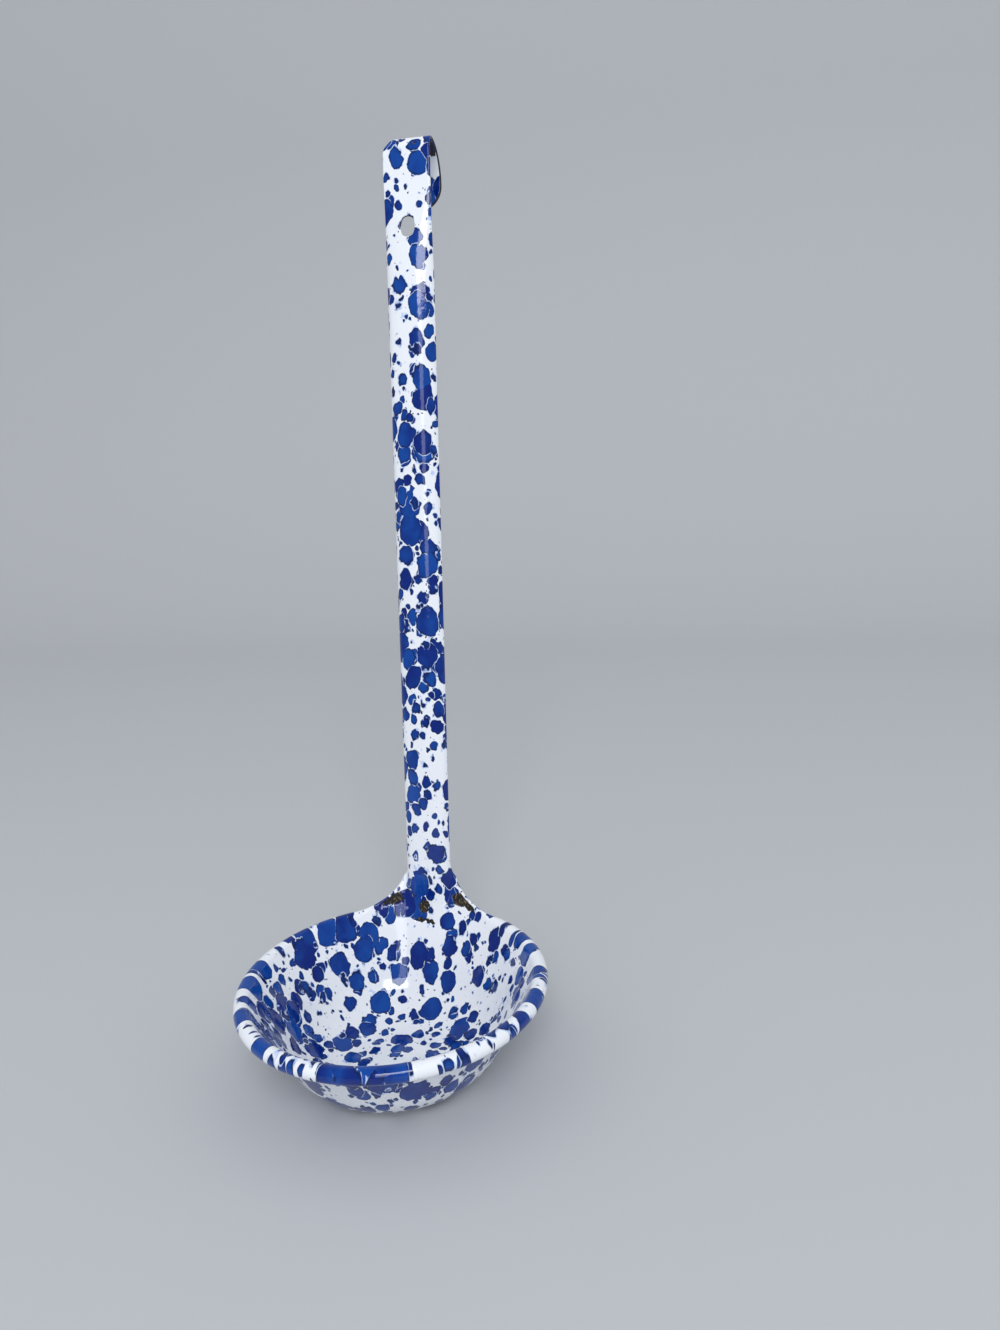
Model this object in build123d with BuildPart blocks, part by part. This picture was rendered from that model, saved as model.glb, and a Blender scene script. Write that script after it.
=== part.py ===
"""Soup ladle of enamelled sheet steel, in millimetres.

Two pressings make it: a drawn bowl with a rolled rim, and a channelled handle whose foot is
spot-welded behind the bowl's back wall and whose tip is bent over into a hook. The bowl stands
on z = 0 with its centre at the origin, and the handle rises at the back, towards +Y.
"""

import os
from math import asin, cos, degrees, radians, sin, sqrt, tan

from build123d import *

# Enamelled sheet: steel with its glass coat on both faces
sheet = 1.2

# Bowl
rim_diameter = 100.0
bowl_height = 33.3
roll_diameter = 5.2
base_fillet = 23.4
wall_slope = 61.5
roll_turn = 288.0

# Handle, measured along its shaft from the centre of the rim's roll
handle_lean = 10.0
handle_length = 275.5
neck_height = 18.0
neck_width = 16.0
crown_end = 225.0
flat_start = 262.0
tip_width = 17.7
crown_depth = 3.0
flat_setback = 1.7
tip_crown = 0.04

# Hook: outer radii of the bend at its front corner and at its back
hook_front_radius = 5.0
hook_back_radius = 11.8

# Hanging hole, down from the top of the bend
hole_drop = 31.6
hole_width = 5.2
hole_length = 7.2

# Foot: the notch that it fills in the rim, and the lap behind the bowl's wall
notch_width = 38.0
notch_corner = 6.0
seam_depth = 8.0
lap_length = 12.0
lap_width = 27.0
lap_corner = 7.0
joggle_run = 3.0

# Spot welds through the lap
weld_count = 3
weld_spacing = 8.0
weld_diameter = 4.0
weld_thickness = 1.0
weld_drop = 5.5

overrun = 5.0

# Rim roll and wall: the wall's inner face is tangent to the roll's outside
roll_radius = roll_diameter / 2
roll_r = rim_diameter / 2 - roll_radius
roll_z = bowl_height - roll_radius
slope = radians(wall_slope)
along_r, along_z = cos(slope), sin(slope)
inner_r = roll_r - roll_radius * along_z
inner_z = roll_z + roll_radius * along_r


def wall_point(climb, depth):
    """Point (r, z) of the wall: climb up it from the roll's tangent, depth out from its inner face."""
    return (
        inner_r + climb * along_r + depth * along_z,
        inner_z + climb * along_z - depth * along_r,
    )


def cone_radius(z):
    """Radius of the wall's inner face, or of its cone carried on upwards, at height z."""
    return inner_r + (z - inner_z) / tan(slope)


# Notch at the back of the rim, cut down to the seam where the handle's foot stands on the wall
seam_z = wall_point(-seam_depth, 0)[1]
notch_height = bowl_height
with BuildPart() as notch:
    with BuildSketch(Plane.XZ.offset(-overrun)) as notch_outline:
        with Locations((0, seam_z)):
            Rectangle(notch_width, notch_height, align=(Align.CENTER, Align.MIN))
        fillet(notch_outline.vertices().group_by(Axis.Z)[0], notch_corner)
    extrude(amount=-rim_diameter)


# Spot welds: round nuggets, half in the bowl's wall and half in the lap
weld_r, weld_z = wall_point(-seam_depth - weld_drop, sheet)


def weld_plane(index):
    """Plane of one nugget, on the wall's outer face and square to it."""
    across = (index - (weld_count - 1) / 2) * weld_spacing
    turn = asin(across / weld_r)
    outwards = (along_z * sin(turn), along_z * cos(turn), -along_r)
    return Plane(origin=(across, weld_r * cos(turn), weld_z), z_dir=outwards)


with BuildPart() as nugget:
    Cylinder(weld_diameter / 2, weld_thickness)

with BuildPart() as spot_welds:
    with Locations(*[weld_plane(index) for index in range(weld_count)]):
        add(nugget.part)


# Drawn bowl: its outer face runs down the wall to a fillet that is tangent to the flat base
outer_r, outer_z = wall_point(0, sheet)
base_radius = outer_r - (base_fillet - (base_fillet - outer_z) * along_r) / along_z
roll_start = 90 + wall_slope
roll_stops = (roll_start, 90, 0, roll_start - roll_turn)
base_stops = (-90, wall_slope - 90)


def bent(centre, radius, stops, flats):
    """Points (r, z) of an arc in short flats, which turn into a light mesh.

    Stops are the arc's angles in degrees, and flats are their numbers between the stops. The flats'
    ends lie on the arc.
    """
    turns = [stops[0]]
    for start, end, count in zip(stops, stops[1:], flats):
        turns += [start + (end - start) * (step + 1) / count for step in range(count)]
    return [(centre[0] + radius * cos(radians(turn)), centre[1] + radius * sin(radians(turn))) for turn in turns]


with BuildPart() as bowl:
    with BuildSketch(Plane.XZ):
        with BuildLine():
            roll_centre, base_centre = (roll_r, roll_z), (base_radius, base_fillet)
            outside = bent(base_centre, base_fillet, base_stops, (5,))
            outside += bent(roll_centre, roll_radius - sheet, roll_stops, (2, 2, 3))
            inside = bent(base_centre, base_fillet - sheet, base_stops, (5,))
            inside += bent(roll_centre, roll_radius, roll_stops, (2, 3, 5))
            Polyline((0, 0), *outside, *reversed(inside), (0, sheet), close=True)
        make_face()
    revolve(axis=Axis.Z)
    add(notch.part, mode=Mode.SUBTRACT)
    add(spot_welds.part, mode=Mode.SUBTRACT)


# Shaft: the crest of its crown is a crown's depth ahead of the line through the roll
lean = radians(handle_lean)


def crest_y(z):
    """Place of the shaft's crest at height z."""
    return roll_r + (z - roll_z) * tan(lean) - crown_depth / cos(lean)


def shaft_point(climb, back):
    """Point (y, z) of the shaft's side view: climb up from the roll, back from the crest."""
    return (
        roll_r - (crown_depth - back) * cos(lean) + climb * sin(lean),
        roll_z + (crown_depth - back) * sin(lean) + climb * cos(lean),
    )


def shaft_plane(climb, back=0.0):
    """Plane across the shaft: its x runs across the handle and its y runs back."""
    return Plane(origin=(0, *shaft_point(climb, back)), x_dir=(1, 0, 0), z_dir=(0, sin(lean), cos(lean)))


def face_plane(climb, back):
    """Plane along the shaft's front: its x runs across the handle and its y runs up the shaft."""
    return Plane(origin=(0, *shaft_point(climb, back)), x_dir=(1, 0, 0), z_dir=(0, -cos(lean), sin(lean)))


def section(plane, shoulder, side, edge, thickness):
    """Face of the sheet cut across: a crown, two sides and square edges.

    Shoulder, side and edge are (across, back, lean of the sheet in degrees), from the crest.
    """

    def front(point):
        return point[:2]

    def rear(point):
        across, back, turn = point
        return (across - thickness * sin(radians(turn)), back + thickness * cos(radians(turn)))

    def mirrored(point):
        return (-point[0], point[1])

    with BuildSketch(plane) as face:
        with BuildLine():
            for side_of, middle in ((front, (0, 0)), (rear, (0, thickness))):
                inner, bend, outer = side_of(shoulder), side_of(side), side_of(edge)
                ThreePointArc(mirrored(outer), mirrored(bend), mirrored(inner))
                ThreePointArc(mirrored(inner), middle, inner)
                ThreePointArc(inner, bend, outer)
            Line(front(edge), rear(edge))
            Line(mirrored(front(edge)), mirrored(rear(edge)))
        make_face()
    return face.sketch.face()


# Crowned section: shares of the half width and of the crown's depth, with the sheet's lean
shoulder_share, shoulder_drop_share, shoulder_lean = 0.667, 0.267, 17.0
side_share, side_drop_share, side_lean = 0.86, 0.545, 39.0
edge_lean = 61.0


def crowned(climb, width, depth, setback):
    """Section of the shaft: a crown whose sides are turned back by depth."""
    half = width / 2
    form = depth / crown_depth
    return section(
        shaft_plane(climb, setback),
        (shoulder_share * half, shoulder_drop_share * depth, shoulder_lean * form),
        (side_share * half, side_drop_share * depth, side_lean * form),
        (half, depth, edge_lean * form),
        sheet,
    )


def shaft_width(climb):
    """Width of the shaft, which grows evenly from the neck to the flat tip."""
    return neck_width + (tip_width - neck_width) * (climb - neck_height) / (flat_start - neck_height)


# Flare of the foot: shares of the neck's height, of the flare's width and of the crown's form
flare_shares = (
    (0.00, 1.00, 0.00),
    (0.15, 0.95, 0.00),
    (0.28, 0.70, 0.08),
    (0.41, 0.445, 0.30),
    (0.56, 0.255, 0.62),
    (0.76, 0.09, 0.93),
)


def flare(height_share, width_share, crown_share):
    """Section of the foot: its sides pass from the bowl's cone to the shaft's crown."""
    z = roll_z + height_share * neck_height
    half = neck_width / 2 + width_share * (notch_width - neck_width) / 2
    shoulder = shoulder_share * neck_width / 2
    wall = cone_radius(z)
    wall_sheet = sheet / along_z
    points = []
    for across, drop_share, turn in (
        (shoulder, shoulder_drop_share, shoulder_lean),
        ((shoulder + half) / 2, side_drop_share, side_lean),
        (half, 1.0, edge_lean),
    ):
        on_cone = sqrt(wall**2 - across**2) - crest_y(z)
        cone_lean = -degrees(asin(across / wall))
        back = on_cone + crown_share * (drop_share * crown_depth - on_cone)
        points.append((across, back, cone_lean + crown_share * (turn - cone_lean)))
    plane = Plane(origin=(0, crest_y(z), z), x_dir=(1, 0, 0), z_dir=(0, 0, 1))
    return section(plane, *points, wall_sheet + crown_share * (sheet - wall_sheet))


# Foot's infill: flush with the bowl's wall, from the seam up to the roll's centre
with BuildPart() as infill:
    with BuildSketch(Plane.XZ):
        with BuildLine():
            low, high = -seam_depth - joggle_run, joggle_run
            Polyline(
                wall_point(low, 0), wall_point(low, sheet), wall_point(high, sheet), wall_point(high, 0), close=True
            )
        make_face()
        with Locations((0, roll_z)):
            Rectangle(rim_diameter, rim_diameter, align=(Align.MIN, Align.MIN), mode=Mode.SUBTRACT)
    revolve(axis=Axis.Z)

# Foot's lap: joggled out by one sheet at the seam, and down the outside of the wall
with BuildPart() as lap:
    with BuildSketch(Plane.XZ):
        with BuildLine():
            low = -seam_depth - lap_length
            Polyline(
                wall_point(low, sheet),
                wall_point(low, 2 * sheet),
                wall_point(-seam_depth, 2 * sheet),
                wall_point(joggle_run - seam_depth, sheet),
                close=True,
            )
        make_face()
    revolve(axis=Axis.Z)
    with BuildSketch(Plane.XZ.offset(-overrun)) as lap_outline:
        with Locations((0, wall_point(low, 2 * sheet)[1])):
            Rectangle(lap_width, bowl_height, align=(Align.CENTER, Align.MIN))
        fillet(lap_outline.vertices().group_by(Axis.Z)[0], lap_corner)
    extrude(amount=-rim_diameter, mode=Mode.INTERSECT)

# Handle: flared foot, crowned shaft that flattens below the tip, hook and hanging hole
half_flat_climb = (crown_end + flat_start) / 2
neck = crowned(neck_height, neck_width, crown_depth, 0)
crown_top = crowned(crown_end, shaft_width(crown_end), crown_depth, 0)
half_flat = crowned(half_flat_climb, shaft_width(half_flat_climb), crown_depth / 2, flat_setback / 2)
flat_end = crowned(flat_start, tip_width, tip_crown, flat_setback)
bend_start = handle_length - hook_front_radius
tongue_start = handle_length - hook_back_radius
hook_depth = hook_front_radius + hook_back_radius
side_view = Plane(origin=(0, *shaft_point(0, flat_setback)), x_dir=(0, cos(lean), -sin(lean)), z_dir=(1, 0, 0))

with BuildPart() as handle:
    loft([flare(*shares) for shares in flare_shares] + [neck])
    add(infill.part)
    add(notch.part, mode=Mode.INTERSECT)
    add(lap.part)
    add(spot_welds.part, mode=Mode.SUBTRACT)
    loft([neck, crown_top], ruled=True)
    loft([crown_top, half_flat, flat_end])

    with BuildSketch(side_view):
        with BuildLine():
            Polyline((sheet, bend_start), (sheet, flat_start), (0, flat_start), (0, bend_start))
            for radius, turn in ((hook_front_radius, 90), (hook_back_radius, 0)):
                CenterArc((hook_front_radius, handle_length - radius), radius, turn, 90)
                CenterArc((hook_front_radius, handle_length - radius), radius - sheet, turn, 90)
            Polyline(
                (hook_depth, tongue_start),
                (hook_depth, tongue_start - tip_width / 2),
                (hook_depth - sheet, tongue_start - tip_width / 2),
                (hook_depth - sheet, tongue_start),
            )
        make_face()
    extrude(amount=tip_width / 2, both=True)

    with BuildSketch(face_plane(tongue_start, flat_setback + hook_depth + overrun)):
        Rectangle(tip_width + overrun, tip_width, align=(Align.CENTER, Align.MAX))
        Circle(tip_width / 2, mode=Mode.SUBTRACT)
    extrude(amount=sheet + 2 * overrun, mode=Mode.SUBTRACT)

    with BuildSketch(face_plane(handle_length - hole_drop, 0)):
        SlotOverall(hole_length, hole_width, rotation=90)
    extrude(amount=crown_depth + overrun, both=True, mode=Mode.SUBTRACT)

os.makedirs("parts", exist_ok=True)
for name, piece in (("bowl", bowl), ("handle", handle), ("spot_welds", spot_welds)):
    piece.part.label = name
    export_step(piece.part, f"parts/{name}.step")
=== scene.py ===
"""Soup ladle of white enamelled steel with blue splatter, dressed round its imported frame.

Sizes are in millimetres and become metres where a mesh is made. The ladle stands on z = 0 with the
bowl's centre at the origin, and its handle rises at the back, towards +Y.
"""
import math
import bpy
import numpy as np
from mathutils import Matrix, Vector


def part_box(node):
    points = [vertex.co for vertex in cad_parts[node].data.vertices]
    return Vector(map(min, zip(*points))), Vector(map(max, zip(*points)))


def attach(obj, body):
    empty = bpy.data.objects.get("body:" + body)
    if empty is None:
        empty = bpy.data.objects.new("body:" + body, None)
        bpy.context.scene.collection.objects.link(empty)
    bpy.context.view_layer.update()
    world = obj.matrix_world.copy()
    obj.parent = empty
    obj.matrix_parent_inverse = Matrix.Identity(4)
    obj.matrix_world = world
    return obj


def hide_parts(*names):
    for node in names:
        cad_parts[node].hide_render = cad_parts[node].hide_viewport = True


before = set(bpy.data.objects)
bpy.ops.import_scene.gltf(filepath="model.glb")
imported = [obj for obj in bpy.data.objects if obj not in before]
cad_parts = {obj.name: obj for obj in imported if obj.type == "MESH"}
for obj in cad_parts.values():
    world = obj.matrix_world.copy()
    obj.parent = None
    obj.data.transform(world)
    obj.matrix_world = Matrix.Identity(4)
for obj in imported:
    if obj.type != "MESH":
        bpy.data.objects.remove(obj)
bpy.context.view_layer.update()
mm = 0.001

# Bowl
# A cup drawn from one steel disc: flat base, sloping wall, and a rim rolled outwards into a bead.
# At the back its wall ends at a seam, where the handle's foot is let in flush.
bowl_high = [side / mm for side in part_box("bowl")[1]]
rim_radius, bowl_height = bowl_high[0], bowl_high[2]
sheet = 1.2
bead_radius = 2.6
root_radius = 0.7
slope = math.radians(61.5)
out, up = math.cos(slope), math.sin(slope)
bead_r, bead_z = rim_radius - bead_radius, bowl_height - bead_radius
lip_r, lip_z = bead_r - bead_radius * up, bead_z + bead_radius * out
base_round = 23.4
base_r = lip_r + sheet * up - (base_round - (base_round - lip_z + sheet * out) * out) / up
wall_low = (base_round * (1 - out) - lip_z + sheet * out) / up

seam_depth = 8.0
seam_flat = 13.0
foot_half = 19.0
foot_climb = 3.0
seam_low, seam_top = lip_z - seam_depth * up, lip_z + foot_climb * up
rise_half = 24.0
bead_full = 25.5
edge_radius = sheet / 2
across_steps, corner_steps, round_steps = 112, 18, 340
edge_rows, hollow_rows = 24, 5
base_rows, round_rows, inner_rows, outer_rows = 12, 40, 44, 40


def wall(turn, climb, depth=0.0):
    """Point of the bowl's cone: up its slope from the lip, and into the sheet from the inner face.

    Turn is the angle from +Y towards +X.
    """
    r = lip_r + climb * out + depth * up
    z = lip_z + climb * up - depth * out
    return np.stack(np.broadcast_arrays(r * np.sin(turn), r * np.cos(turn), z), -1)


def wall_look(turn):
    """Direction that the cone's inner face looks in: towards the axis, and up by the wall's slope."""
    return np.stack([-up * np.sin(turn), -up * np.cos(turn), out + 0 * turn], -1)


def wall_place(x, z):
    """Turn and climb of the cone's inner face at a place given by its x and its height."""
    climb = (z - lip_z) / up
    return np.arcsin(x / (lip_r + climb * out)), climb


def ease(start, end, value):
    """Smooth step: 0 before start, 1 after end, and level at both."""
    share = np.clip((value - start) / (end - start), 0, 1)
    return share * share * (3 - 2 * share)


def seam_height(x):
    """Height of the seam: level under the foot, then a quarter of an ellipse up to the rim."""
    share = np.clip((np.abs(x) - seam_flat) / (foot_half - seam_flat), 0, 1)
    return seam_low + (seam_top - seam_low) * (1 - np.sqrt(1 - share * share))


def unit(vectors):
    """Vectors at length 1."""
    return vectors / np.linalg.norm(vectors, axis=-1, keepdims=True)


def rounded_edge(edge, look, radius, rows, hollows):
    """Rounded edge of the sheet: a circle over the edge, then a small hollow back to the rear face.

    Edge is the line where the front face ends, and look is that face's normal there. The circle is as
    wide as the bead where the rim is rolled, and as the sheet where it is only cut. The hollow
    touches both the circle and the rear face, and it closes up where the two are tangent.
    """
    outwards = unit(np.cross(look, np.gradient(edge, axis=0, edge_order=2)))
    centre = edge - radius[:, None] * look
    hollow_look = radius - sheet - root_radius
    hollow_out = -np.sqrt(np.maximum((radius + root_radius) ** 2 - hollow_look**2, 0))
    end = 2 * np.pi - np.arccos(np.clip(hollow_look / (radius + root_radius), -1, 1))
    turn = np.linspace(0, 1, rows + 1)[:, None] * end
    circle = (radius * np.cos(turn))[..., None] * look + (radius * np.sin(turn))[..., None] * outwards
    back = np.linspace(1, 0, hollows + 1)[1:, None] * (end - np.pi)
    hollow = (hollow_look + root_radius * np.cos(back))[..., None] * look
    hollow = hollow + (hollow_out + root_radius * np.sin(back))[..., None] * outwards
    return centre + np.concatenate([circle, hollow])


bar_share, drop_share, shaft_drop_share = 0.42, 0.65, 0.75
drop_sizes = (
    # x, y and z of a place on the ladle, how far it reaches, and what it adds to the drops' size
    (-38, 4, 22, 20, 0.22),
    (-26, -24, 12, 15, 0.12),
    (0, -47, 32, 16, 0.45),
    (-30, 36, 32, 9, 0.3),
    (32, -22, 16, 14, 0.2),
    (-12, 20, 10, 13, -0.16),
    (10, 30, 20, 12, -0.06),
    (46, 12, 31, 14, -0.16),
    (-46, 0, 31, 9, -0.12),
    (0, -34, 12, 16, 0.04),
    (0, 82, 285, 22, -0.12),
    (4, 74, 180, 26, 0.08),
    (0, 64, 120, 34, 0.12),
    (0, 52, 55, 22, 0.08),
)


def spatter_place(points):
    """Place, in millimetres, that a drop of spatter is laid at.

    It is the point itself, but near the rim it is drawn in towards the bead's centre, so that drops
    lie across the rim as bars, and its height is shortened, so that they are long downhill.
    """
    least_r = 1e-6
    x, y, z = points.T
    r = np.maximum(np.hypot(x, y), least_r)
    centre = np.stack([x * bead_r / r, y * bead_r / r, bead_z + 0 * r], -1)
    rolled = 1 - ease(bead_radius, 3 * bead_radius, np.linalg.norm(points - centre, axis=-1))
    rolled = rolled * np.where(y > 0, ease(foot_half, bead_full + bead_radius, np.abs(x)), 1)
    drawn = points + (rolled * (1 - bar_share))[:, None] * (centre - points)
    on_bowl, on_shaft = np.minimum(drawn[:, 2], bowl_height), np.maximum(drawn[:, 2] - bowl_height, 0)
    return np.stack([drawn[:, 0], drawn[:, 1], drop_share * on_bowl + shaft_drop_share * on_shaft], -1)


def drop_size(points):
    """How large the drops are: 1, and each listed place adds its amount, which fades as a bell curve."""
    size = np.ones(len(points))
    for x, y, z, reach, amount in drop_sizes:
        size += amount * np.exp(-np.sum((points - (x, y, z)) ** 2, -1) / reach**2)
    return size


class Pressing:
    """One pressing's closed surface, gathered as grids of points and joined where they meet."""

    def __init__(self):
        self.points, self.cells, self.hidden, self.marks = [], [], [], []
        self.count = 0

    def add(self, points, chip=0.0, burn=0.0, hidden=False, flip=False, closed=False, holes=False):
        """Adds a grid of points, whose cells face along the columns' way crossed with the rows' way.

        Chip and burn are what the enamel reads, hidden marks the cells that other steel covers, and
        holes the cells that are left out. Flip turns the cells round, and closed joins the last
        column to the first.
        """
        rows, columns = points.shape[:2]
        number = self.count + np.arange(rows * columns).reshape(rows, columns)
        if closed:
            number = np.concatenate([number, number[:, :1]], 1)
        cells = np.stack([number[:-1, :-1], number[:-1, 1:], number[1:, 1:], number[1:, :-1]], -1)
        whole = ~np.broadcast_to(holes, cells.shape[:2])
        self.hidden.append(np.broadcast_to(hidden, cells.shape[:2])[whole])
        self.cells.append(cells[whole][:, ::-1] if flip else cells[whole])
        self.points.append(points.reshape(-1, 3))
        marks = [np.broadcast_to(mark, (rows, columns)) for mark in (chip, burn)]
        self.marks.append(np.stack(marks, -1).reshape(-1, 2))
        self.count += rows * columns

    def make(self, name):
        """Object of the joined grids.

        Points that meet become one, cells lose corners that meet, and points without cells go.
        """
        steps_per_mm = 10000
        points, marks = np.concatenate(self.points), np.concatenate(self.marks)
        places = np.round(points * steps_per_mm).astype(np.int64)
        _, kept, joined = np.unique(places, axis=0, return_index=True, return_inverse=True)
        cells = joined.reshape(-1)[np.concatenate(self.cells)]
        used = cells != np.roll(cells, 1, 1)
        whole = used.sum(1) > 2
        cells, used, hidden = cells[whole], used[whole], np.concatenate(self.hidden)[whole]
        corners = used.sum(1)
        with_cells, cells = np.unique(cells, return_inverse=True)
        kept, cells = kept[with_cells], cells.reshape(used.shape)
        mesh = bpy.data.meshes.new(name)
        mesh.vertices.add(len(kept))
        mesh.vertices.foreach_set("co", (points[kept] * mm).ravel())
        mesh.loops.add(int(corners.sum()))
        mesh.loops.foreach_set("vertex_index", cells[used])
        mesh.polygons.add(len(cells))
        mesh.polygons.foreach_set("loop_start", np.cumsum(corners) - corners)
        mesh.polygons.foreach_set("use_smooth", np.ones(len(cells), dtype=bool))
        mesh.update(calc_edges=True)
        mesh.attributes.new("hidden", "BOOLEAN", "FACE").data.foreach_set("value", hidden)
        for place, mark in enumerate(("chip", "burn")):
            mesh.attributes.new(mark, "FLOAT", "POINT").data.foreach_set("value", marks[kept, place])
        sizes = mesh.attributes.new("drop_size", "FLOAT", "POINT")
        sizes.data.foreach_set("value", drop_size(points[kept]))
        laid = mesh.attributes.new("spatter", "FLOAT_VECTOR", "POINT")
        laid.data.foreach_set("vector", spatter_place(points[kept]).ravel())
        made = bpy.data.objects.new(name, mesh)
        bpy.context.scene.collection.objects.link(made)
        return made


# Columns run round the bowl from the foot's right end by the front to its left end, then along the
# foot's seam. They are closer together near the foot, where the bead fades.
closeness = 0.5
share = np.linspace(0, 1, round_steps + 1)
share = share - closeness * np.sin(2 * np.pi * share) / (2 * np.pi)
foot_turn = wall_place(foot_half, seam_top)[0]
round_turn = foot_turn + (2 * np.pi - 2 * foot_turn) * share
# Across the seam they are even on its level part, and follow the ellipse's turn round its corners
corner = seam_flat + (foot_half - seam_flat) * np.sin(np.linspace(0, np.pi / 2, corner_steps + 1)[1:])
level = np.linspace(-seam_flat, seam_flat, across_steps - 2 * corner_steps + 1)
across = np.concatenate([-corner[::-1], level, corner])
seam_turn, seam_climb = wall_place(across, seam_height(across))

# The bead shrinks to the sheet's edge at the foot, and the lip's line climbs there, so that the top of
# the rim stays level and then rises into the foot. Climb and reach depend on each other, and a few
# rounds settle both.
settling_rounds = 6
rim_climb = np.zeros(round_steps + 1)
for _ in range(settling_rounds):
    reach = np.abs((lip_r + rim_climb * out) * np.sin(round_turn))
    reach = np.where(np.cos(round_turn) > 0, reach, rim_radius)
    rim_bead = edge_radius + (bead_radius - edge_radius) * ease(foot_half, bead_full, reach)
    rim_rise = np.clip((rise_half - reach) / (rise_half - foot_half), 0, 1) ** 2
    rim_climb = bead_radius - rim_bead + (foot_climb - bead_radius + edge_radius) * rim_rise
rim = rounded_edge(wall(round_turn, rim_climb), wall_look(round_turn), rim_bead, edge_rows, hollow_rows)
seam_front, seam_back = wall(seam_turn, seam_climb), wall(seam_turn, seam_climb, sheet)
end_wall = np.linspace(0, 1, len(rim))[:, None, None]
end_wall = seam_front * (1 - end_wall) + seam_back * end_wall

turn = np.concatenate([round_turn, seam_turn[1:-1]])
top = np.concatenate([rim_climb, seam_climb[1:-1]])
bowl_edge = np.concatenate([rim, end_wall[:, 1:-1]], 1)
rear_turn = np.arctan2(bowl_edge[-1, :, 0], bowl_edge[-1, :, 1])
rear_turn = turn + (rear_turn - turn + np.pi) % (2 * np.pi) - np.pi
rear_top = (bowl_edge[-1, :, 2] - lip_z + sheet * out) / up


def rows(count):
    """Even shares from 0 to 1, as a column."""
    return np.linspace(0, 1, count + 1)[:, None]


def turned(radius, height):
    """Rows of the bowl's base and round, at radii and heights that are the same all the way round."""
    return np.stack(np.broadcast_arrays(radius * np.sin(low_turn), radius * np.cos(low_turn), height), -1)


# Lower down the columns spread out from the foot, so that none cross under its corners
foot_spread, spread_power = 0.55, 1.5
low_turn = foot_spread + (np.pi - foot_spread) * (round_turn - foot_turn) / (np.pi - foot_turn)
low_turn = np.concatenate([low_turn, foot_spread * across[1:-1] / foot_half])
round_turns, inner_radius = slope * rows(round_rows)[1:], base_round - sheet
inner_base = turned(base_r * rows(base_rows), sheet)
inner_round = turned(
    base_r + inner_radius * np.sin(round_turns), base_round - inner_radius * np.cos(round_turns)
)
inner_share, outer_share = rows(inner_rows)[1:-1], rows(outer_rows)[1:]
inner_turn = low_turn + (turn - low_turn) * inner_share**spread_power
outer_turn = low_turn + (rear_turn - low_turn) * (1 - outer_share) ** spread_power
inner_wall = wall(inner_turn, wall_low + (top - wall_low) * inner_share)
outer_wall = wall(outer_turn, rear_top + (wall_low - rear_top) * outer_share, sheet)
round_turns = slope * rows(round_rows)[-2::-1]
outer_round = turned(base_r + base_round * np.sin(round_turns), base_round * (1 - np.cos(round_turns)))
outer_base = turned(base_r * rows(base_rows)[-2::-1], 0.0)
grid = [inner_base, inner_round, inner_wall, bowl_edge, outer_wall, outer_round, outer_base]
hidden = np.zeros((sum(len(part) for part in grid) - 1, len(turn)), dtype=bool)
edge_start = len(inner_base) + len(inner_round) + len(inner_wall)
hidden[edge_start : edge_start + len(bowl_edge) - 1, round_steps:] = True
pressing = Pressing()
pressing.add(np.concatenate(grid), hidden=hidden, closed=True)
bowl = pressing.make("enamelled_bowl")
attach(bowl, "root")
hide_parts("bowl")

# Handle
# One pressing: a foot that flares out to the rim, a crowned shaft, a flat tip with an oval hanging
# hole, and a hook bent over to the back. Its foot laps down behind the bowl's wall.
handle_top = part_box("handle")[1][2] / mm
lean = math.radians(10)
lean_back, lean_up = math.sin(lean), math.cos(lean)
crown_depth = 3.0
flat_setback = 1.7
start_y, start_z = bead_r - crown_depth * lean_up, bead_z + crown_depth * lean_back
front_bend, back_bend, bend_to_tongue = 5.0, 11.8, 0.6
bend_start = (handle_top - start_z - front_bend + (flat_setback + front_bend) * lean_back) / lean_up
mid_bend = bend_start + front_bend * np.pi / 2
bend_end = mid_bend + back_bend * np.pi / 2
tongue_start = bend_end + bend_to_tongue
neck, neck_half = 19.3, 8.0
crown_end, flat_start, tip_half = 225.0, 262.0, 8.5
round_share, round_power, side_power = 0.6, 2, 9
knock_side, knock_rate, knock_power = 5.0, 0.26, 2.1
knock_rise, knock_fall = (bend_start - 2, mid_bend - 1), (mid_bend, mid_bend + 10)
valley = 2.0
hole_along, hole_half_width, hole_half_length, hole_lip = 243.9, 2.6, 3.6, 0.4


def half_width(along):
    """Half of the front face's width: it grows evenly from the neck to the flat tip.

    Where the crown has faded out, the rounded edge stands out beside the face, which is narrower
    by as much.
    """
    share = np.clip((along - neck) / (flat_start - neck), 0, 1)
    return neck_half + (tip_half - neck_half) * share - edge_radius * ease(crown_end, flat_start, along)


def setback(x, along):
    """How far the front lies behind the crest's line.

    The crown falls away as the square and the ninth power of the way to the edge, and fades out at
    the flat tip. The bend's left corner is knocked back, by a power of the way past its start. On
    the foot the bowl's cone comes forward of the crown: it is as far back as the root of a quadratic
    says, and a parabola fills the valley between the two.
    """
    flat = ease(crown_end, flat_start, along)
    reach = np.abs(x) / half_width(along)
    crown = round_share * reach**round_power + (1 - round_share) * reach**side_power
    knock = ease(*knock_rise, along) * (1 - ease(*knock_fall, along))
    shaft = flat * flat_setback + (1 - flat) * crown_depth * crown
    shaft = shaft + knock_rate * knock * np.maximum(-x - knock_side, 0) ** knock_power
    y, z = start_y + along * lean_back, start_z + along * lean_up
    radius, widening = lip_r + (z - lip_z) * out / up, lean_back * out / up
    a, b = lean_up**2 - widening**2, y * lean_up + radius * widening
    cone = (np.sqrt(b * b - a * (x * x + y * y - radius * radius)) - b) / a
    blend = np.maximum(valley - np.abs(shaft - cone), 0) / valley
    return np.minimum(shaft, cone) - blend * blend * valley / 4


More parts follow.
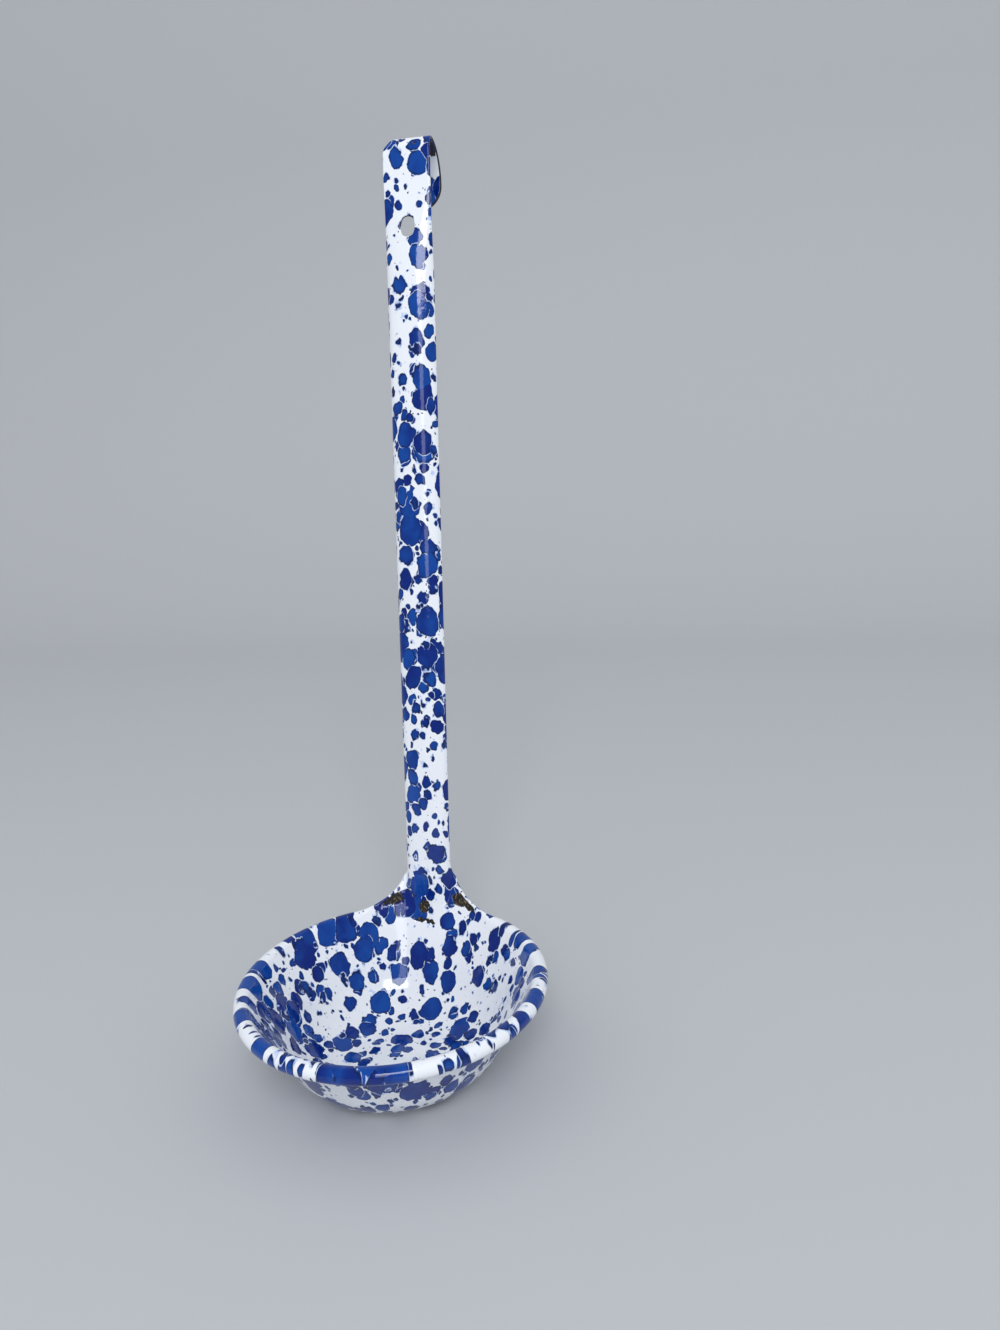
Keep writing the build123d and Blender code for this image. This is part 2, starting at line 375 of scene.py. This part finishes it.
def handle_front(x, along):
    """Point of the handle's front face, across it and along its side view.

    The side view is the shaft's line, two arcs over the hook and a straight tongue. Its heading
    grows with the arcs, and the face lies behind that line by its setback.
    """
    x, along = np.broadcast_arrays(x, along)
    first = np.clip((along - bend_start) / front_bend, 0, np.pi / 2)
    second = np.clip((along - mid_bend) / back_bend, 0, np.pi / 2)
    climb = np.minimum(along, bend_start) + front_bend * np.sin(first) - back_bend * (1 - np.cos(second))
    climb = climb - np.maximum(along - bend_end, 0)
    behind = flat_setback + front_bend * (1 - np.cos(first)) + back_bend * np.sin(second)
    heading = first + second
    depth = setback(x, along) - flat_setback
    behind, climb = behind + depth * np.cos(heading), climb - depth * np.sin(heading)
    y = start_y + behind * lean_up + climb * lean_back
    z = start_z - behind * lean_back + climb * lean_up
    return np.stack([x, y, z], -1)


def handle_look(x, along, step=0.05):
    """Direction that the front face looks in, from its rise across and along a small step."""
    over = handle_front(x + step, along) - handle_front(x - step, along)
    upwards = handle_front(x, along + step) - handle_front(x, along - step)
    return unit(np.cross(over, upwards))


def along_of(point):
    """Place along the shaft of a point given in space."""
    return (point[..., 1] - start_y) * lean_back + (point[..., 2] - start_z) * lean_up


# The foot's sides follow a cubic Bezier curve from the rim up to the neck, and its rows settle from
# the seam's U shape to level ones
foot_rows = 92
rise = rows(foot_rows)
seam_along = along_of(seam_front)
corner_out, corner_in = (15.6, 4.6), (neck_half, 9.0)
curve = [(1 - rise) ** 3, 3 * rise * (1 - rise) ** 2, 3 * rise**2 * (1 - rise), rise**3]
side_half, side_along = (
    sum(weight * end for weight, end in zip(curve, ends))
    for ends in zip((foot_half, seam_along[0]), corner_out, corner_in, (neck_half, neck))
)
share_across = np.linspace(-1, 1, across_steps + 1)
foot_x = (share_across + (across / foot_half - share_across) * (1 - rise) ** 2) * side_half
foot_along = side_along - (seam_along[0] - seam_along) * (1 - rise) ** 2

# Shaft and hook: rows are closer together at the hanging hole and round the bends
hole_reach = 8
stops = (neck, hole_along - hole_reach, hole_along + hole_reach, bend_start, mid_bend, tongue_start)
stop_rows = (86, 40, 20, 26, 30)
shaft_along = zip(stops, stops[1:], stop_rows)
shaft_along = [np.linspace(start, end, count + 1)[1:] for start, end, count in shaft_along]
shaft_along = np.concatenate(shaft_along)[:, None]
shaft_x = share_across * half_width(shaft_along)

# Tongue: a half disc, filled between its straight side and an arc at each of the other three
tongue_rows = 26
disc = rows(tongue_rows)
turn_across = share_across * np.pi / 4
left_turn = np.pi / 2 - disc * np.pi / 4
top_x, top_along = np.sin(turn_across), np.cos(turn_across)
side_x, side_rise = np.sin(left_turn), np.cos(left_turn)
arc_end = math.sin(math.pi / 4)
tongue_x = (1 - disc) * share_across + disc * top_x + share_across * side_x
tongue_x = tongue_x - share_across * ((1 - disc) + disc * arc_end)
tongue_along = disc * top_along + side_rise - disc * arc_end
tongue_half = tip_half - edge_radius
tongue_x, tongue_along = tongue_half * tongue_x[1:], tongue_start + tongue_half * tongue_along[1:]

x = np.concatenate([foot_x, shaft_x, tongue_x])
along = np.concatenate([foot_along, shaft_along + 0 * across, tongue_along])
front, look = handle_front(x, along), handle_look(x, along)
front[0], look[0] = seam_front, wall_look(seam_turn)

# Lap: below the seam the foot is joggled out by one sheet and lies on the outside of the wall
lap_half, lap_length, lap_corner = 13.5, 12.0, 7.0
joggle, lap_soft, lap_margin, lap_sink = 3.0, 0.6, 0.75, 0.15
lap_spare, lap_rows = 0.4, 42
on_lap = np.flatnonzero(np.abs(across) < lap_half + lap_margin + lap_spare)
lap_columns = slice(on_lap[0], on_lap[-1] + 1)


def lap_height(x, drop):
    """How far the lap's rear stands off the sheet's, where drop is the way down from the seam.

    It is one sheet inside a rounded outline with a soft edge, and eases out to that above the seam.
    """
    from_side = np.maximum(lap_corner - lap_half + np.abs(x), 0)
    from_end = np.maximum(lap_corner - lap_length + drop, 0)
    covered = ease(-lap_soft, lap_soft, lap_corner - np.hypot(from_side, from_end))
    return sheet * covered * ease(-joggle, 0, drop)


rear = front - (sheet + lap_height(x, (seam_low - front[..., 2]) / up))[..., None] * look
rear[0] = seam_back
lap_top = seam_front - (sheet + lap_height(across, 0.0))[:, None] * wall_look(seam_turn)
rear[0, lap_columns] = lap_top[lap_columns]


def outline(part):
    """Values of a grid up its first column, along its last row and back down its last column."""
    return np.concatenate([part[:, 0], part[-1, 1:-1], part[::-1, -1]])


# Edge all the way round the front, from the foot's left end over the tongue to its right end
edge, edge_look, edge_along = outline(front), outline(look), outline(along)
half_edge = edge_rows // 2
rim_rounds = rounded_edge(edge, edge_look, np.full(len(edge), edge_radius), half_edge, 0)
rim_rounds[0] = edge
rim_rounds[:, 0], rim_rounds[:, -1] = rim[: edge_rows + 1 : 2, -1], rim[: edge_rows + 1 : 2, 0]
rear[:, 0], rear[:, -1] = rim_rounds[-1, : len(rear)], rim_rounds[-1, : -len(rear) - 1 : -1]
rear[-1, 1:-1] = rim_rounds[-1, len(rear) : -len(rear)]

# The coat is thin on the cut edge of the hook, and burns black there. The rear inside the top of the bend
# is painted black as well, most near the sides.
hook_burn, round_burn, most_black = (bend_start + 4, bend_start + 8), 0.45, 0.85
bend_rise, bend_fall = (mid_bend - 2, mid_bend + 1), (mid_bend + 6, mid_bend + 11)
side_black = (tip_half - 5, tip_half - 1.5)
edge_burn = ease(0, round_burn, np.sin(np.pi * rows(half_edge))) * ease(*hook_burn, edge_along)
bend_black = ease(*bend_rise, along) * (1 - ease(*bend_fall, along))
bend_black = most_black * bend_black * ease(*side_black, np.abs(x))

# Hanging hole: rings run from a block of the front's cells in to the hole, through it, and out again
# to the same block of the rear's cells
block_half, out_rows, lip_rows = 30, 8, 4
middle_column = across_steps // 2
near_hole = np.abs(along[:, middle_column] - hole_along) < 2 * hole_half_width
lower, upper = np.flatnonzero(near_hole)[[0, -1]]
left, right = middle_column - block_half, middle_column + block_half
ring_rows = np.concatenate([np.full(right - left, lower), np.arange(lower, upper)])
ring_rows = np.concatenate([ring_rows, lower + upper - ring_rows])
ring_columns = np.concatenate([np.arange(left, right), np.full(upper - lower, right)])
ring_columns = np.concatenate([ring_columns, left + right - ring_columns])
block_x, block_along = x[ring_rows, ring_columns], along[ring_rows, ring_columns]
straight = hole_half_length - hole_half_width
middle = hole_along + straight * np.clip((block_along - hole_along) / (2 * hole_half_width), -1, 1)
away = unit(np.stack([block_x, block_along - middle], -1))
lip = np.pi / 2 * rows(lip_rows)
ring_out = np.hypot(block_x, block_along - middle) - hole_half_width - hole_lip
ring_out = (1 - rows(out_rows)) * ring_out + hole_lip
ring_reach = np.concatenate([ring_out, 0 * block_x + hole_lip * (1 - np.sin(lip[1:]))])
ring_depth = np.concatenate([0 * ring_out[:, :1], hole_lip * (1 - np.cos(lip[1:]))])
ring_reach = hole_half_width + np.concatenate([ring_reach, ring_reach[::-1]])
ring_depth = np.concatenate([ring_depth, sheet - ring_depth[::-1]])
ring_x, ring_along = ring_reach * away[:, 0], middle + ring_reach * away[:, 1]
ring = handle_front(ring_x, ring_along) - ring_depth[..., None] * handle_look(ring_x, ring_along)
ring[0], ring[-1] = front[ring_rows, ring_columns], rear[ring_rows, ring_columns]
open_block = np.zeros((len(front) - 1, across_steps), dtype=bool)
open_block[lower:upper, left:right] = True

# Lap and the walls at the seam, which other steel hides
lap_drop = rows(lap_rows) * (lap_length + lap_margin)
lap_climb = seam_climb[lap_columns] - lap_drop
lap_x = across[lap_columns]
lap_turn = np.arcsin(lap_x / (lip_r + lap_climb * out))
lap_off = lap_height(lap_x, (seam_low - lip_z) / up - lap_climb)
lap_rear = wall(lap_turn, lap_climb, sheet + lap_off)
lap_inner = wall(lap_turn, lap_climb, sheet - lap_sink)
lap_rear[0] = rear[0, lap_columns]
lap_side = np.stack([outline(lap_rear), outline(lap_inner)])
seam_mid = seam_front - (sheet - lap_sink) * wall_look(seam_turn)
seam_mid[lap_columns] = lap_inner[0]
ends = np.arange(across_steps)
beside_lap = (ends < lap_columns.start) | (ends >= lap_columns.stop - 1)

# Chips in the foot and scratches over the bend, where the glass has come off the steel
chip_depth, chip_soft, chip_margin, far_outside = 0.25, (-0.1, 0.3), 0.15, -9.0
chips = (
    # place across and along, half of its length and of its width, and its turn in degrees
    (-12.6, 5.2, 3.6, 2.1, 4),
    (-15.8, 4.3, 2.6, 1.2, 16),
    (-1.3, 2.7, 2.5, 2.1, 80),
    (-2.6, -1.9, 2.0, 1.0, -10),
    (1.1, -2.5, 1.9, 1.0, -20),
    (12.4, 5.4, 3.8, 2.4, -8),
    (15.6, 4.3, 3.3, 2.0, -28),
    (-17.6, 3.4, 0.7, 0.4, 20),
    (3.2, 272.3, 2.0, 0.45, 24),
    (6.6, 272.6, 1.4, 0.35, -20),
)
ragged_waves = (
    # height, waves across and along in radians a millimetre, and where the wave starts
    (0.2, 3.1, 1.7, 0),
    (0.16, 2.3, -4.3, 1),
    (0.1, 6.1, 5.3, 2),
)


def chipped(x, along, chips):
    """How far inside the nearest chip a place is: ellipses, with ragged outlines made by sine waves."""
    inside = np.full(x.shape, far_outside)
    for middle_x, middle_along, half_long, half_wide, turn in chips:
        turn = math.radians(turn)
        over, off = x - middle_x, along - middle_along
        long_way = (over * math.cos(turn) + off * math.sin(turn)) / half_long
        wide_way = (off * math.cos(turn) - over * math.sin(turn)) / half_wide
        inside = np.maximum(inside, (1 - np.hypot(long_way, wide_way)) * half_wide)
    for height, across_rate, along_rate, start in ragged_waves:
        inside = inside + height * np.sin(across_rate * x + along_rate * along + start)
    return inside


# The chips end short of the outline, whose rounded edge keeps its glass
outline_along = np.concatenate([side_along, shaft_along]).ravel()
outline_half = np.concatenate([side_half, half_width(shaft_along)]).ravel()
side_gap = np.interp(along, outline_along, outline_half) - np.abs(x)
chip = np.minimum(chipped(x, along, chips), side_gap - chip_margin)
chipped_front = front - (chip_depth * ease(*chip_soft, chip))[..., None] * look

# The top of the hanging hole is burnt inside, and a little way round it on the rear
top_burn, depth_burn, burn_width = (-0.2, 0.4), (0.05, 0.35), 0.8
ring_burn = ease(*top_burn, away[:, 1]) * ease(*depth_burn, ring_depth / sheet)
ring_burn = ring_burn * (1 - ease(0, burn_width, ring_reach - hole_half_width - hole_lip))

pressing = Pressing()
pressing.add(chipped_front, chip=chip, holes=open_block)
pressing.add(rim_rounds, burn=edge_burn)
pressing.add(rear, burn=bend_black, holes=open_block, flip=True)
pressing.add(ring, burn=ring_burn, closed=True)
pressing.add(lap_rear)
pressing.add(lap_inner, hidden=True, flip=True)
pressing.add(lap_side, hidden=True)
pressing.add(np.stack([seam_front, seam_mid]), hidden=True, flip=True)
pressing.add(np.stack([seam_mid, rear[0]]), hidden=True, flip=True, holes=~beside_lap)
for column, flip in ((0, False), (-1, True)):
    section = rim_rounds[:, column]
    pressing.add(np.stack([section, 0 * section + seam_mid[column]]), hidden=True, flip=flip)
handle = pressing.make("enamelled_handle")
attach(handle, "root")
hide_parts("handle")


# Coat over the seam
# The glass runs over the seam between the two pressings without a break, so they are shaded as one
# surface there.
def share_normals(*pressings):
    """Gives points that meet, also on two pressings, one normal: the sum of the shown cells' ones.

    Each cell counts by its area. Hidden ones count for next to nothing, which still gives a normal
    to the points that only they use.
    """
    hidden_weight, steps_per_mm = 1e-6, 1000
    places, sums, starts = [], [], [0]
    for piece in pressings:
        mesh = piece.data
        place = np.empty(3 * len(mesh.vertices), np.float32)
        mesh.vertices.foreach_get("co", place)
        corner = np.empty(len(mesh.loops), np.int32)
        mesh.loops.foreach_get("vertex_index", corner)
        normal = np.empty(3 * len(mesh.polygons), np.float32)
        mesh.polygons.foreach_get("normal", normal)
        area = np.empty(len(mesh.polygons), np.float32)
        mesh.polygons.foreach_get("area", area)
        total = np.empty(len(mesh.polygons), np.int32)
        mesh.polygons.foreach_get("loop_total", total)
        hidden = np.empty(len(mesh.polygons), dtype=bool)
        mesh.attributes["hidden"].data.foreach_get("value", hidden)
        weight = np.where(hidden, hidden_weight, 1.0) * area
        weighted = np.repeat(normal.reshape(-1, 3) * weight[:, None], total, axis=0)
        count = len(mesh.vertices)
        summed = [np.bincount(corner, weighted[:, axis], count) for axis in range(3)]
        places.append(place.reshape(-1, 3))
        sums.append(np.stack(summed, -1))
        starts.append(starts[-1] + count)
    whole = np.round(np.concatenate(places) / mm * steps_per_mm).astype(np.int64)
    _, joined = np.unique(whole, axis=0, return_inverse=True)
    joined, sums = joined.reshape(-1), np.concatenate(sums)
    shared = np.stack([np.bincount(joined, sums[:, axis]) for axis in range(3)], -1)[joined]
    for piece, start, end in zip(pressings, starts, starts[1:]):
        piece.data.normals_split_custom_set_from_vertices(unit(shared[start:end]).astype(np.float32))


share_normals(bowl, handle)


# Enamel
# White glass fused to the steel, and blue glass spattered over it before the last firing. The drops
# are balls in four sizes, cut by the surface: their outlines are ragged and the latest lie on top.
class Reading:
    """One socket of a shader tree. Sums and products of readings are maths nodes."""

    def __init__(self, tree, socket=None):
        self.tree, self.socket = tree, socket

    def node(self, kind, settings=(), sockets=(), output=0):
        """A new node, with its settings set first, then the values and links of its sockets."""
        made = self.tree.nodes.new(kind)
        for name, value in dict(settings).items():
            setattr(made, name, value)
        for name, value in dict(sockets).items():
            if isinstance(value, Reading):
                self.tree.links.new(value.socket, made.inputs[name])
            else:
                made.inputs[name].default_value = value
        return Reading(self.tree, made.outputs[output])

    def output(self, name):
        """Another output of the same node."""
        return Reading(self.tree, self.socket.node.outputs[name])

    def maths(self, operation, *values):
        """One operation over numbers or readings."""
        return self.node("ShaderNodeMath", {"operation": operation}, dict(enumerate(values)))

    def __add__(self, other):
        return self.maths("ADD", self, other)

    def __mul__(self, other):
        return self.maths("MULTIPLY", self, other)

    def __sub__(self, other):
        return self.maths("SUBTRACT", self, other)

    def __rsub__(self, other):
        return self.maths("SUBTRACT", other, self)

    def __gt__(self, other):
        return self.maths("GREATER_THAN", self, other)

    __radd__, __rmul__ = __add__, __mul__

    def between(self, low, high):
        """Smooth step from 0 at low to 1 at high."""
        sockets = {"Value": self, "From Min": low, "From Max": high}
        return self.node("ShaderNodeMapRange", {"interpolation_type": "SMOOTHSTEP"}, sockets)

    def shift(self, other, share):
        """This number, moved towards another by a share."""
        return self.node("ShaderNodeMix", {"data_type": "FLOAT"}, {0: share, 2: self, 3: other})

    def under(self, colour, share):
        """This colour with another laid over it, by a share."""
        return self.node("ShaderNodeMix", {"data_type": "RGBA"}, {0: share, 6: self, 7: colour}, 2)

    def noise(self, place, scale, detail=2.0):
        """Fractal noise at a place, about 0.5: scale is its waves a unit, and detail its octaves."""
        sockets = {"Vector": place, "Scale": scale, "Detail": detail}
        return self.node("ShaderNodeTexNoise", {}, sockets, "Fac")

    def moved(self, noise, reach):
        """This place, moved by a noise's colour times a reach."""
        sockets = {0: noise.output("Color"), 1: (reach, reach, reach), 2: self}
        return self.node("ShaderNodeVectorMath", {"operation": "MULTIPLY_ADD"}, sockets)


def colour(red, green, blue):
    """An opaque colour of three linear shares."""
    return (red, green, blue, 1.0)


enamel = bpy.data.materials.new("spattered_enamel")
enamel.use_nodes = True
glass = enamel.node_tree.nodes["Principled BSDF"]
tree = Reading(enamel.node_tree)
laid = tree.node("ShaderNodeAttribute", {"attribute_name": "spatter"}, output="Vector")
more = tree.node("ShaderNodeAttribute", {"attribute_name": "drop_size"}, output="Fac")
chip_mark = tree.node("ShaderNodeAttribute", {"attribute_name": "chip"}, output="Fac")
burn_mark = tree.node("ShaderNodeAttribute", {"attribute_name": "burn"}, output="Fac")
# Scales of noise are in waves a millimetre, and reaches in millimetres
warp_scale, warp_reach, fray_scale, fray_reach = 0.2, 3.2, 0.8, 0.7
cloud_scale, patch_scale, grain_scale, peel_scale = 0.16, 0.5, 1.5, 0.6
bent = laid.moved(tree.noise(laid, warp_scale), warp_reach)
bent = bent.moved(tree.noise(laid, fray_scale), fray_reach)
cloud = tree.noise(laid, cloud_scale)
patches = tree.noise(laid, patch_scale)

white, pale = colour(0.84, 0.87, 0.91), colour(0.52, 0.63, 0.9)
navy, deep, royal = colour(0.001, 0.012, 0.08), colour(0.0, 0.016, 0.18), colour(0.003, 0.06, 0.32)
drop_layers = (
    # size of the cells that hold one drop each, and the smallest and the largest drop's radius
    (1.3, -0.45, 0.3),
    (2.3, -0.4, 0.75),
    (3.8, -0.1, 2.15),
    (6.1, 0.7, 4.15),
)
# Millimetres in from a drop's outline over which its blue, its pale halo and its dark border come in,
# the radii and the patches that have a halo, the radius over which a layer's drops stand up, and how
# far a drop's tone counts in its blue
drop_edge, halo_edge, dark_border = (-0.07, 0.07), (-0.27, -0.1), (0.6, 0.02)
halo_radius, halo_patches, raised_radius = (0.2, 0.6), (0.4, 0.55), 1
tone_share, light_tones = 0.5, (0.45, 1.05)
paint = tree.node("ShaderNodeRGB")
paint.socket.default_value = white
raised = 0.0
for cell, smallest, largest in drop_layers:
    gaps, kept, ranks, tones = [], [], [], []
    for feature in ("F1", "F2"):
        sockets = {"Vector": bent, "Scale": 1 / cell}
        distance = tree.node("ShaderNodeTexVoronoi", {"feature": feature}, sockets)
        random = tree.node("ShaderNodeSeparateColor", {}, {"Color": distance.output("Color")})
        radius = smallest + (largest - smallest) * random + largest * (more - 1)
        gaps.append(radius - cell * distance)
        kept.append(radius.between(*halo_radius))
        ranks.append(random.output("Green"))
        tones.append(random.output("Blue"))
    latest = ranks[0] > ranks[1]
    for turn_over in (1 - latest, latest):
        gap = gaps[1].shift(gaps[0], turn_over)
        tone = tones[1].shift(tones[0], turn_over)
        halo = kept[1].shift(kept[0], turn_over) * patches.between(*halo_patches)
        body = tree.node("ShaderNodeRGB")
        body.socket.default_value = deep
        body = body.under(royal, (tone * tone_share + cloud).between(*light_tones))
        body = body.under(navy, gap.between(*dark_border))
        paint = paint.under(pale, gap.between(*halo_edge) * halo)
        inside = gap.between(*drop_edge)
        paint = paint.under(body, inside)
        if largest > raised_radius:
            raised = inside.maths("MAXIMUM", inside, raised)

# Bare steel is black scale with rust in its grain, and noise frays the outlines of chips and burns
scale_black, rust = colour(0.014, 0.011, 0.009), colour(0.19, 0.14, 0.06)
burnt_black = colour(0.014, 0.013, 0.015)
grain_detail, rust_grain = 4.0, (0.54, 0.66)
bare_fray, bare_edge, burnt_fray, burnt_edge = 0.6, (0.1, 0.22), 0.7, (0.42, 0.6)
glass_rough, burnt_rough, bare_rough = 0.07, 0.45, 0.7
peel_height, drop_height, grain_height = 0.03, 0.02, 0.3
steel = tree.node("ShaderNodeRGB")
steel.socket.default_value = scale_black
grain = tree.noise(laid, grain_scale, grain_detail)
steel = steel.under(rust, grain.between(*rust_grain))
bare = (chip_mark + (grain - 0.5) * bare_fray).between(*bare_edge)
# Black where the coat burnt on the hook's cut edge and at the top of the hanging hole, and black painted
# inside the top of the bend
burnt = (burn_mark + (patches - 0.5) * burnt_fray).between(*burnt_edge)
paint = paint.under(burnt_black, burnt).under(steel, bare)
links = enamel.node_tree.links
links.new(paint.socket, glass.inputs["Base Color"])
gloss = tree.node("ShaderNodeValue")
gloss.socket.default_value = glass_rough
links.new(gloss.shift(burnt_rough, burnt).shift(bare_rough, bare).socket, glass.inputs["Roughness"])
peel = tree.noise(laid, peel_scale) * peel_height
height = peel + raised * drop_height + bare * grain * grain_height
bump = tree.node("ShaderNodeBump", {}, {"Strength": 1.0, "Distance": mm, "Height": height})
links.new(bump.socket, glass.inputs["Normal"])
for piece in (bowl, handle):
    piece.data.materials.append(enamel)

# Weld steel
# Three nuggets of fused steel hold the lap to the bowl's wall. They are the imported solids, bare inside
# the joint and with a faint grain.
weld_scale, weld_rough, grain_share = 1500.0, 0.25, 0.3
weld_steel = bpy.data.materials.new("weld_steel")
weld_steel.use_nodes = True
metal = weld_steel.node_tree.nodes["Principled BSDF"]
metal.inputs["Metallic"].default_value = 1.0
metal.inputs["Base Color"].default_value = colour(0.3, 0.29, 0.28)
weld_tree = Reading(weld_steel.node_tree)
coordinates = weld_tree.node("ShaderNodeTexCoord", output="Object")
weld_grain = weld_tree.noise(coordinates, weld_scale, grain_detail)
weld_steel.node_tree.links.new((weld_rough + grain_share * weld_grain).socket, metal.inputs["Roughness"])
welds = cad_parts["spot_welds"]
welds.data.materials.clear()
welds.data.materials.append(weld_steel)

# Studio
# A pale sweep: a floor that curves up into a wall well behind the ladle, all in one sheet. A dull sky
# and two soft lamps at the front light it, and the camera is fitted to the photograph. In metres.
sweep_side, sweep_front, sweep_back, sweep_round, sweep_high = 2.5, -2.5, 0.6, 0.6, 2.5
sweep_steps = 48
sweep_turn = np.linspace(0, np.pi / 2, sweep_steps + 1)
sweep_y = [[sweep_front], sweep_back + sweep_round * np.sin(sweep_turn), [sweep_back + sweep_round]]
sweep_z = [[0], sweep_round * (1 - np.cos(sweep_turn)), [sweep_high]]
sweep_y, sweep_z = np.concatenate(sweep_y), np.concatenate(sweep_z)
sweep_points = [np.broadcast_arrays(side, sweep_y, sweep_z) for side in (-sweep_side, sweep_side)]
sweep_points = np.moveaxis(np.stack(sweep_points), 1, 2).reshape(-1, 3)
step = np.arange(len(sweep_y) - 1)[:, None]
sweep_cells = step + np.array([0, len(sweep_y), len(sweep_y) + 1, 1])
sweep_mesh = bpy.data.meshes.new("sweep")
sweep_mesh.from_pydata(sweep_points.tolist(), [], sweep_cells.tolist())
sweep_mesh.polygons.foreach_set("use_smooth", np.ones(len(sweep_cells), dtype=bool))
sweep = bpy.data.objects.new("sweep", sweep_mesh)
bpy.context.scene.collection.objects.link(sweep)
paper = bpy.data.materials.new("pale_paper")
paper.use_nodes = True
matt = paper.node_tree.nodes["Principled BSDF"]
matt.inputs["Base Color"].default_value = colour(0.52, 0.535, 0.555)
matt.inputs["Roughness"].default_value = 0.9
sweep_mesh.materials.append(paper)

sky_strength, less_in_gloss = 0.86, 0.6
world = bpy.data.worlds.new("studio")
bpy.context.scene.world = world
world.use_nodes = True
backdrop = world.node_tree.nodes["Background"]
backdrop.inputs["Color"].default_value = colour(0.9, 0.92, 0.96)
ray = Reading(world.node_tree).node("ShaderNodeLightPath", output="Is Glossy Ray")
world.node_tree.links.new((sky_strength - less_in_gloss * ray).socket, backdrop.inputs["Strength"])


def area_light(name, place, width, height, power, tint, aim=(0, 0, 0.15)):
    """A rectangular soft light at a place, turned towards an aim, which is half way up the ladle."""
    lamp = bpy.data.lights.new(name, "AREA")
    lamp.shape = "RECTANGLE"
    lamp.size, lamp.size_y, lamp.energy, lamp.color = width, height, power, tint
    made = bpy.data.objects.new(name, lamp)
    bpy.context.scene.collection.objects.link(made)
    made.location = place
    made.rotation_euler = (Vector(aim) - Vector(place)).to_track_quat("-Z", "Y").to_euler()


area_light(
    "window", place=(0.338, -1.178, 1.178), width=0.68, height=0.56, power=10, tint=(0.95, 0.97, 1.0)
)
area_light(
    "sill", place=(0.182, -1.482, 0.723), width=0.22, height=0.62, power=1.3, tint=(0.85, 0.87, 1.0)
)

camera_data = bpy.data.cameras.new("camera")
camera_data.lens, camera_data.sensor_width = 27.07, 36
camera = bpy.data.objects.new("camera", camera_data)
bpy.context.scene.collection.objects.link(camera)
camera_place = Vector((97.98, -274.61, 204.16)) * mm
camera_axes = Matrix(((0.9806, 0.187, -0.0588), (0.0114, 0.2452, 0.9694), (0.1957, -0.9513, 0.2383)))
camera.matrix_world = Matrix.Translation(camera_place) @ camera_axes.transposed().to_4x4()
bpy.context.scene.camera = camera
bpy.context.scene.view_settings.view_transform = "Standard"
